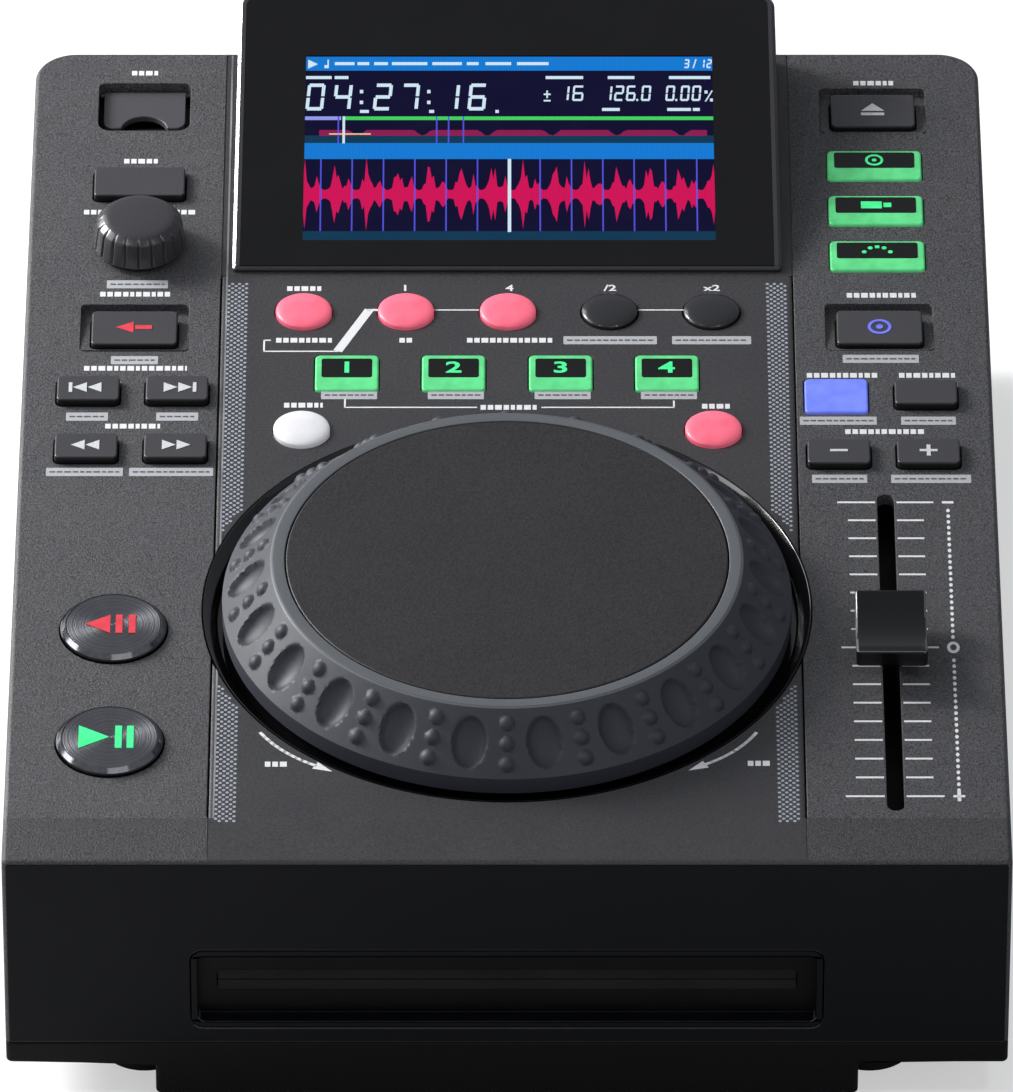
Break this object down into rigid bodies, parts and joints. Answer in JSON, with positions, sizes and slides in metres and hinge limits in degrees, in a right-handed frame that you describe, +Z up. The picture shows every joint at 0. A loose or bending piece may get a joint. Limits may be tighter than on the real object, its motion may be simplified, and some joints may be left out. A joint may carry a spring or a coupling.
{
  "type": "disc player",
  "caption": "Tabletop disc player for mixing music: sloped control panel with a jog wheel, push buttons, browse knob and pitch fader, a raised screen, and a disc slot in front.",
  "frame": {"origin": "middle of the base, at the level the feet stand on", "axes": "+X to the right, +Y from the front to the back, +Z up"},
  "size_m": [0.22, 0.2944, 0.1057],
  "materials": {
    "pebbled_black_plastic": "pebbled",
    "satin_black_plastic": "satin",
    "base_black_plastic": "fine texture",
    "gloss_black_plastic": "glossy",
    "button_black_plastic": "satin",
    "tinted_glass": "glossy dark window",
    "screen_glass": "lit screen",
    "wheel_rubber": "matte",
    "platter_grey_plastic": "matte",
    "steel": "brushed",
    "dark_metal": "dark, turned",
    "board_green": "circuit board",
    "pink_lit_plastic": "translucent, lit",
    "green_lit_plastic": "translucent, lit",
    "blue_lit_plastic": "translucent, lit",
    "white_lit_plastic": "translucent",
    "foot_rubber": "matte"
  },
  "bodies": {
    "player_body": {"top_housing": "pebbled_black_plastic", "center_plate": "satin_black_plastic", "slot_bezel": "base_black_plastic", "bottom_pan": "base_black_plastic", "foot_front_left": "foot_rubber", "foot_front_right": "foot_rubber", "foot_rear_left": "foot_rubber", "foot_rear_right": "foot_rubber", "display_hood": "satin_black_plastic", "display_window": "tinted_glass", "display_screen": "screen_glass", "jog_dish": "gloss_black_plastic", "jog_bearing": "steel", "control_board": "board_green", "fader_body": "dark_metal", "usb_socket": "steel", "drive_chassis": "steel", "main_board": "board_green", "phono_jacks": "gloss_black_plastic", "data_socket": "steel", "power_inlet": "gloss_black_plastic"},
    "jog_wheel": {"jog_ring": "wheel_rubber", "jog_platter": "platter_grey_plastic", "jog_shaft": "steel"},
    "browse_plunger": {"browse_shaft": "steel"},
    "browse_grip": {"browse_knob": "button_black_plastic"},
    "stick_door": {"usb_door": "satin_black_plastic"},
    "pitch_fader": {"fader_cap": "gloss_black_plastic"},
    "mains_rocker": {"power_switch": "button_black_plastic"},
    "spindle": {"disc_spindle": "satin_black_plastic"},
    "roller": {"drive_roller": "foot_rubber"},
    "sled": {"laser_sled": "dark_metal"},
    "cue_cap": {"cue_button": "dark_metal"},
    "play_cap": {"play_button": "dark_metal"},
    "eject_cap": {"eject_button": "button_black_plastic"},
    "reverse_cap": {"reverse_button": "button_black_plastic"},
    "jog_mode_cap": {"jog_mode_button": "button_black_plastic"},
    "key_lock_cap": {"key_lock_button": "blue_lit_plastic"},
    "loop_in_cap": {"loop_in_button": "pink_lit_plastic"},
    "shift_cap": {"shift_button": "white_lit_plastic"},
    "hot_cue_1_cap": {"hot_cue_1_button": "green_lit_plastic"},
    "source_disc_cap": {"source_disc_button": "green_lit_plastic"},
    "track_next_cap": {"track_next_button": "button_black_plastic"},
    "back_cap": {"back_button": "button_black_plastic"},
    "search_next_cap": {"search_next_button": "button_black_plastic"},
    "pitch_up_cap": {"pitch_up_button": "button_black_plastic"},
    "tap_cap": {"tap_button": "button_black_plastic"},
    "slip_cap": {"slip_button": "pink_lit_plastic"},
    "auto_loop_cap": {"auto_loop_button": "pink_lit_plastic"},
    "loop_out_cap": {"loop_out_button": "pink_lit_plastic"},
    "hot_cue_2_cap": {"hot_cue_2_button": "green_lit_plastic"},
    "hot_cue_3_cap": {"hot_cue_3_button": "green_lit_plastic"},
    "hot_cue_4_cap": {"hot_cue_4_button": "green_lit_plastic"},
    "track_back_cap": {"track_back_button": "button_black_plastic"},
    "search_back_cap": {"search_back_button": "button_black_plastic"},
    "source_stick_cap": {"source_stick_button": "green_lit_plastic"},
    "source_link_cap": {"source_link_button": "green_lit_plastic"},
    "pitch_down_cap": {"pitch_down_button": "button_black_plastic"},
    "loop_halve_cap": {"loop_halve_button": "button_black_plastic"},
    "loop_double_cap": {"loop_double_button": "button_black_plastic"}
  },
  "joints": [
    {"name": "jog_spin", "type": "hinge", "parent": "player_body", "child": "jog_wheel", "pos_m": [0, -0.05906, 0.07217], "axis": [0, -0.0698, 0.9976], "continuous": true},
    {"name": "pitch_slide", "type": "slide", "parent": "player_body", "child": "pitch_fader", "axis": [0, 0.9976, 0.0698], "range_m": [-0.05, 0.05]},
    {"name": "stick_door_swing", "type": "hinge", "parent": "player_body", "child": "stick_door", "pos_m": [-0.08435, 0.13426, 0.08288], "axis": [-1, 0, 0], "range_deg": [0, 95]},
    {"name": "browse_push", "type": "slide", "parent": "player_body", "child": "browse_plunger", "axis": [0, 0.0698, -0.9976], "range_m": [0, 0.0008], "stiffness_N_per_m": 600, "springref_m": -0.001},
    {"name": "browse_turn", "type": "hinge", "parent": "browse_plunger", "child": "browse_grip", "pos_m": [-0.0844, 0.07271, 0.08138], "axis": [0, -0.0698, 0.9976], "continuous": true},
    {"name": "power_rock", "type": "hinge", "parent": "player_body", "child": "mains_rocker", "pos_m": [0.072, 0.14325, 0.036], "axis": [-1, 0, 0], "range_deg": [0, 16]},
    {"name": "spindle_turn", "type": "hinge", "parent": "player_body", "child": "spindle", "pos_m": [0, -0.06925, 0.0264], "axis": [0, 0, 1], "continuous": true},
    {"name": "roller_turn", "type": "hinge", "parent": "player_body", "child": "roller", "pos_m": [0, -0.13025, 0.0247], "axis": [1, 0, 0], "continuous": true},
    {"name": "sled_slide", "type": "slide", "parent": "player_body", "child": "sled", "axis": [0, 1, 0], "range_m": [0, 0.024]},
    {"name": "cue_press", "type": "slide", "parent": "player_body", "child": "cue_cap", "axis": [0, 0.0698, -0.9976], "range_m": [0, 0.0012], "stiffness_N_per_m": 300, "springref_m": -0.0015},
    {"name": "play_press", "type": "slide", "parent": "player_body", "child": "play_cap", "axis": [0, 0.0698, -0.9976], "range_m": [0, 0.0012], "stiffness_N_per_m": 300, "springref_m": -0.0015},
    {"name": "eject_press", "type": "slide", "parent": "player_body", "child": "eject_cap", "axis": [0, 0.0698, -0.9976], "range_m": [0, 0.0012], "stiffness_N_per_m": 300, "springref_m": -0.0015},
    {"name": "reverse_press", "type": "slide", "parent": "player_body", "child": "reverse_cap", "axis": [0, 0.0698, -0.9976], "range_m": [0, 0.0012], "stiffness_N_per_m": 300, "springref_m": -0.0015},
    {"name": "jog_mode_press", "type": "slide", "parent": "player_body", "child": "jog_mode_cap", "axis": [0, 0.0698, -0.9976], "range_m": [0, 0.0012], "stiffness_N_per_m": 300, "springref_m": -0.0015},
    {"name": "key_lock_press", "type": "slide", "parent": "player_body", "child": "key_lock_cap", "axis": [0, 0.0698, -0.9976], "range_m": [0, 0.0012], "stiffness_N_per_m": 300, "springref_m": -0.0015},
    {"name": "loop_in_press", "type": "slide", "parent": "player_body", "child": "loop_in_cap", "axis": [0, 0.0698, -0.9976], "range_m": [0, 0.0012], "stiffness_N_per_m": 300, "springref_m": -0.0015},
    {"name": "shift_press", "type": "slide", "parent": "player_body", "child": "shift_cap", "axis": [0, 0.0698, -0.9976], "range_m": [0, 0.0012], "stiffness_N_per_m": 300, "springref_m": -0.0015},
    {"name": "hot_cue_1_press", "type": "slide", "parent": "player_body", "child": "hot_cue_1_cap", "axis": [0, 0.0698, -0.9976], "range_m": [0, 0.0012], "stiffness_N_per_m": 300, "springref_m": -0.0015},
    {"name": "source_disc_press", "type": "slide", "parent": "player_body", "child": "source_disc_cap", "axis": [0, 0.0698, -0.9976], "range_m": [0, 0.0012], "stiffness_N_per_m": 300, "springref_m": -0.0015},
    {"name": "track_next_press", "type": "slide", "parent": "player_body", "child": "track_next_cap", "axis": [0, 0.0698, -0.9976], "range_m": [0, 0.0012], "stiffness_N_per_m": 300, "springref_m": -0.0015},
    {"name": "back_press", "type": "slide", "parent": "player_body", "child": "back_cap", "axis": [0, 0.0698, -0.9976], "range_m": [0, 0.0012], "stiffness_N_per_m": 300, "springref_m": -0.0015},
    {"name": "search_next_press", "type": "slide", "parent": "player_body", "child": "search_next_cap", "axis": [0, 0.0698, -0.9976], "range_m": [0, 0.0012], "stiffness_N_per_m": 300, "springref_m": -0.0015},
    {"name": "pitch_up_press", "type": "slide", "parent": "player_body", "child": "pitch_up_cap", "axis": [0, 0.0698, -0.9976], "range_m": [0, 0.0012], "stiffness_N_per_m": 300, "springref_m": -0.0015},
    {"name": "tap_press", "type": "slide", "parent": "player_body", "child": "tap_cap", "axis": [0, 0.0698, -0.9976], "range_m": [0, 0.0012], "stiffness_N_per_m": 300, "springref_m": -0.0015},
    {"name": "slip_press", "type": "slide", "parent": "player_body", "child": "slip_cap", "axis": [0, 0.0698, -0.9976], "range_m": [0, 0.0012], "stiffness_N_per_m": 300, "springref_m": -0.0015},
    {"name": "auto_loop_press", "type": "slide", "parent": "player_body", "child": "auto_loop_cap", "axis": [0, 0.0698, -0.9976], "range_m": [0, 0.0012], "stiffness_N_per_m": 300, "springref_m": -0.0015},
    {"name": "loop_out_press", "type": "slide", "parent": "player_body", "child": "loop_out_cap", "axis": [0, 0.0698, -0.9976], "range_m": [0, 0.0012], "stiffness_N_per_m": 300, "springref_m": -0.0015},
    {"name": "hot_cue_2_press", "type": "slide", "parent": "player_body", "child": "hot_cue_2_cap", "axis": [0, 0.0698, -0.9976], "range_m": [0, 0.0012], "stiffness_N_per_m": 300, "springref_m": -0.0015},
    {"name": "hot_cue_3_press", "type": "slide", "parent": "player_body", "child": "hot_cue_3_cap", "axis": [0, 0.0698, -0.9976], "range_m": [0, 0.0012], "stiffness_N_per_m": 300, "springref_m": -0.0015},
    {"name": "hot_cue_4_press", "type": "slide", "parent": "player_body", "child": "hot_cue_4_cap", "axis": [0, 0.0698, -0.9976], "range_m": [0, 0.0012], "stiffness_N_per_m": 300, "springref_m": -0.0015},
    {"name": "track_back_press", "type": "slide", "parent": "player_body", "child": "track_back_cap", "axis": [0, 0.0698, -0.9976], "range_m": [0, 0.0012], "stiffness_N_per_m": 300, "springref_m": -0.0015},
    {"name": "search_back_press", "type": "slide", "parent": "player_body", "child": "search_back_cap", "axis": [0, 0.0698, -0.9976], "range_m": [0, 0.0012], "stiffness_N_per_m": 300, "springref_m": -0.0015},
    {"name": "source_stick_press", "type": "slide", "parent": "player_body", "child": "source_stick_cap", "axis": [0, 0.0698, -0.9976], "range_m": [0, 0.0012], "stiffness_N_per_m": 300, "springref_m": -0.0015},
    {"name": "source_link_press", "type": "slide", "parent": "player_body", "child": "source_link_cap", "axis": [0, 0.0698, -0.9976], "range_m": [0, 0.0012], "stiffness_N_per_m": 300, "springref_m": -0.0015},
    {"name": "pitch_down_press", "type": "slide", "parent": "player_body", "child": "pitch_down_cap", "axis": [0, 0.0698, -0.9976], "range_m": [0, 0.0012], "stiffness_N_per_m": 300, "springref_m": -0.0015},
    {"name": "loop_halve_press", "type": "slide", "parent": "player_body", "child": "loop_halve_cap", "axis": [0, 0.0698, -0.9976], "range_m": [0, 0.0012], "stiffness_N_per_m": 300, "springref_m": -0.0015},
    {"name": "loop_double_press", "type": "slide", "parent": "player_body", "child": "loop_double_cap", "axis": [0, 0.0698, -0.9976], "range_m": [0, 0.0012], "stiffness_N_per_m": 300, "springref_m": -0.0015}
  ]
}
